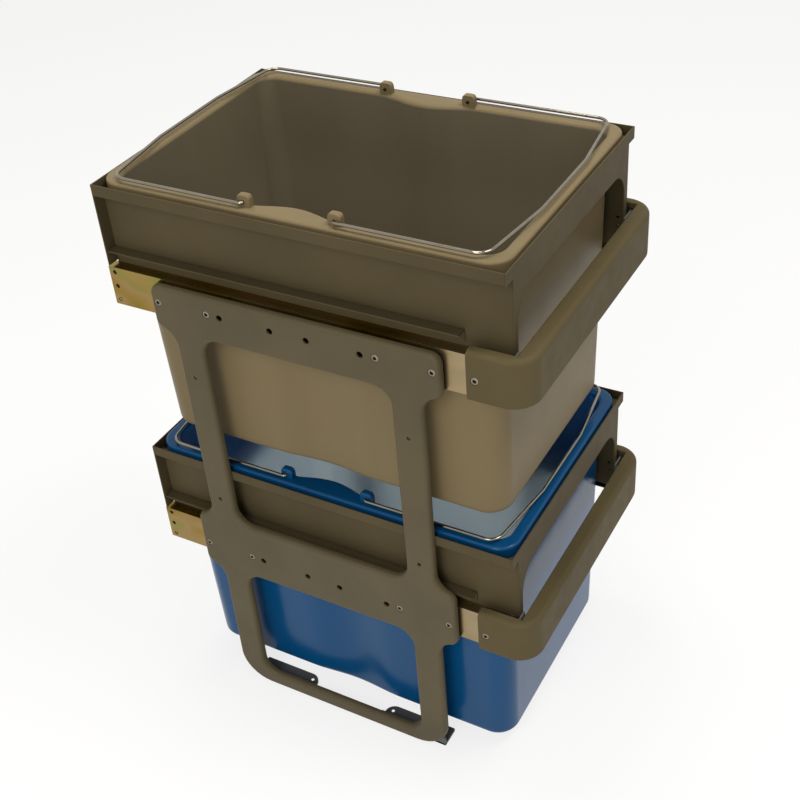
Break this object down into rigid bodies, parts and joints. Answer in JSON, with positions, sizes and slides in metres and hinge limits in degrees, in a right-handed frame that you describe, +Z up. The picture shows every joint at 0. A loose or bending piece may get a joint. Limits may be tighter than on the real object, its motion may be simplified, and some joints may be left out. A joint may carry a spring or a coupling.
{
  "type": "pull out bin frame",
  "caption": "Free-standing frame with pressed side plates carrying stacked drawers on ball slides, each an open collar with a pull handle holding a lift-out bin with wire bails.",
  "frame": {"origin": "on the floor, at the centre of the four floor screw holes, midway between the side frames", "axes": "+Z up, -Y towards the front where the drawers pull out, +X to the right seen from the front"},
  "size_m": [0.323, 0.4775, 0.682],
  "materials": {
    "powder_coat": "satin",
    "handle_plastic": "satin",
    "dark_steel": "satin",
    "yellow_zinc": "satin",
    "cage_steel": "satin",
    "bright_steel": "polished",
    "chrome_wire": "polished",
    "upper_bin_plastic": "gloss",
    "lower_bin_plastic": "gloss"
  },
  "bodies": {
    "frame": {"left_side_frame": "powder_coat", "right_side_frame": "powder_coat", "left_front_foot": "dark_steel", "left_rear_foot": "dark_steel", "right_front_foot": "dark_steel", "right_rear_foot": "dark_steel", "foot_screws": "bright_steel", "left_rail_screws": "bright_steel", "right_rail_screws": "bright_steel", "upper_left_outer_rail": "yellow_zinc", "upper_right_outer_rail": "yellow_zinc", "lower_left_outer_rail": "yellow_zinc", "lower_right_outer_rail": "yellow_zinc"},
    "upper_drawer": {"upper_collar": "powder_coat", "upper_left_cover": "powder_coat", "upper_right_cover": "powder_coat", "upper_left_inner_rail": "yellow_zinc", "upper_right_inner_rail": "yellow_zinc", "upper_rivets": "yellow_zinc", "upper_handle": "handle_plastic", "upper_left_bracket": "dark_steel", "upper_right_bracket": "dark_steel", "upper_handle_screws": "bright_steel"},
    "upper_middle_rails": {"upper_left_middle_rail": "yellow_zinc", "upper_right_middle_rail": "yellow_zinc"},
    "upper_outer_cages": {"upper_left_outer_cage": "cage_steel", "upper_left_outer_balls": "bright_steel", "upper_right_outer_cage": "cage_steel", "upper_right_outer_balls": "bright_steel"},
    "upper_inner_cages": {"upper_left_inner_cage": "cage_steel", "upper_left_inner_balls": "bright_steel", "upper_right_inner_cage": "cage_steel", "upper_right_inner_balls": "bright_steel"},
    "upper_bin": {"upper_bin": "upper_bin_plastic"},
    "upper_rear_bail": {"upper_rear_bail": "chrome_wire"},
    "upper_front_bail": {"upper_front_bail": "chrome_wire"},
    "lower_drawer": {"lower_collar": "powder_coat", "lower_left_cover": "powder_coat", "lower_right_cover": "powder_coat", "lower_left_inner_rail": "yellow_zinc", "lower_right_inner_rail": "yellow_zinc", "lower_rivets": "yellow_zinc", "lower_handle": "handle_plastic", "lower_left_bracket": "dark_steel", "lower_right_bracket": "dark_steel", "lower_handle_screws": "bright_steel"},
    "lower_middle_rails": {"lower_left_middle_rail": "yellow_zinc", "lower_right_middle_rail": "yellow_zinc"},
    "lower_outer_cages": {"lower_left_outer_cage": "cage_steel", "lower_left_outer_balls": "bright_steel", "lower_right_outer_cage": "cage_steel", "lower_right_outer_balls": "bright_steel"},
    "lower_inner_cages": {"lower_left_inner_cage": "cage_steel", "lower_left_inner_balls": "bright_steel", "lower_right_inner_cage": "cage_steel", "lower_right_inner_balls": "bright_steel"},
    "lower_bin": {"lower_bin": "lower_bin_plastic"},
    "lower_rear_bail": {"lower_rear_bail": "chrome_wire"},
    "lower_front_bail": {"lower_front_bail": "chrome_wire"}
  },
  "joints": [
    {"name": "upper_drawer_slide", "type": "slide", "parent": "frame", "child": "upper_drawer", "axis": [0, -1, 0], "range_m": [0, 0.44]},
    {"name": "upper_middle_rails_slide", "type": "slide", "parent": "frame", "child": "upper_middle_rails", "axis": [0, -1, 0], "range_m": [0, 0.22]},
    {"name": "upper_outer_cages_slide", "type": "slide", "parent": "frame", "child": "upper_outer_cages", "axis": [0, -1, 0], "range_m": [0, 0.11]},
    {"name": "upper_inner_cages_slide", "type": "slide", "parent": "frame", "child": "upper_inner_cages", "axis": [0, -1, 0], "range_m": [0, 0.33]},
    {"name": "upper_bin_lift", "type": "slide", "parent": "upper_drawer", "child": "upper_bin", "axis": [0, 0, 1], "range_m": [0, 0.33]},
    {"name": "upper_front_bail_swing", "type": "hinge", "parent": "upper_bin", "child": "upper_front_bail", "pos_m": [0, -0.0542, 0.675], "axis": [-1, 0, 0], "range_deg": [0, 100]},
    {"name": "upper_rear_bail_swing", "type": "hinge", "parent": "upper_bin", "child": "upper_rear_bail", "pos_m": [0, 0.0448, 0.675], "axis": [1, 0, 0], "range_deg": [0, 100]},
    {"name": "lower_drawer_slide", "type": "slide", "parent": "frame", "child": "lower_drawer", "axis": [0, -1, 0], "range_m": [0, 0.44]},
    {"name": "lower_middle_rails_slide", "type": "slide", "parent": "frame", "child": "lower_middle_rails", "axis": [0, -1, 0], "range_m": [0, 0.22]},
    {"name": "lower_outer_cages_slide", "type": "slide", "parent": "frame", "child": "lower_outer_cages", "axis": [0, -1, 0], "range_m": [0, 0.11]},
    {"name": "lower_inner_cages_slide", "type": "slide", "parent": "frame", "child": "lower_inner_cages", "axis": [0, -1, 0], "range_m": [0, 0.33]},
    {"name": "lower_bin_lift", "type": "slide", "parent": "lower_drawer", "child": "lower_bin", "axis": [0, 0, 1], "range_m": [0, 0.004]},
    {"name": "lower_front_bail_swing", "type": "hinge", "parent": "lower_bin", "child": "lower_front_bail", "pos_m": [0, -0.0542, 0.344], "axis": [-1, 0, 0], "range_deg": [0, 2.5]},
    {"name": "lower_rear_bail_swing", "type": "hinge", "parent": "lower_bin", "child": "lower_rear_bail", "pos_m": [0, 0.0448, 0.344], "axis": [1, 0, 0], "range_deg": [0, 2.5]}
  ],
  "couplings": [
    {"joint": "upper_middle_rails_slide", "follows": "upper_drawer_slide", "ratio": 0.5},
    {"joint": "upper_outer_cages_slide", "follows": "upper_drawer_slide", "ratio": 0.25},
    {"joint": "upper_inner_cages_slide", "follows": "upper_drawer_slide", "ratio": 0.75},
    {"joint": "lower_middle_rails_slide", "follows": "lower_drawer_slide", "ratio": 0.5},
    {"joint": "lower_outer_cages_slide", "follows": "lower_drawer_slide", "ratio": 0.25},
    {"joint": "lower_inner_cages_slide", "follows": "lower_drawer_slide", "ratio": 0.75}
  ]
}
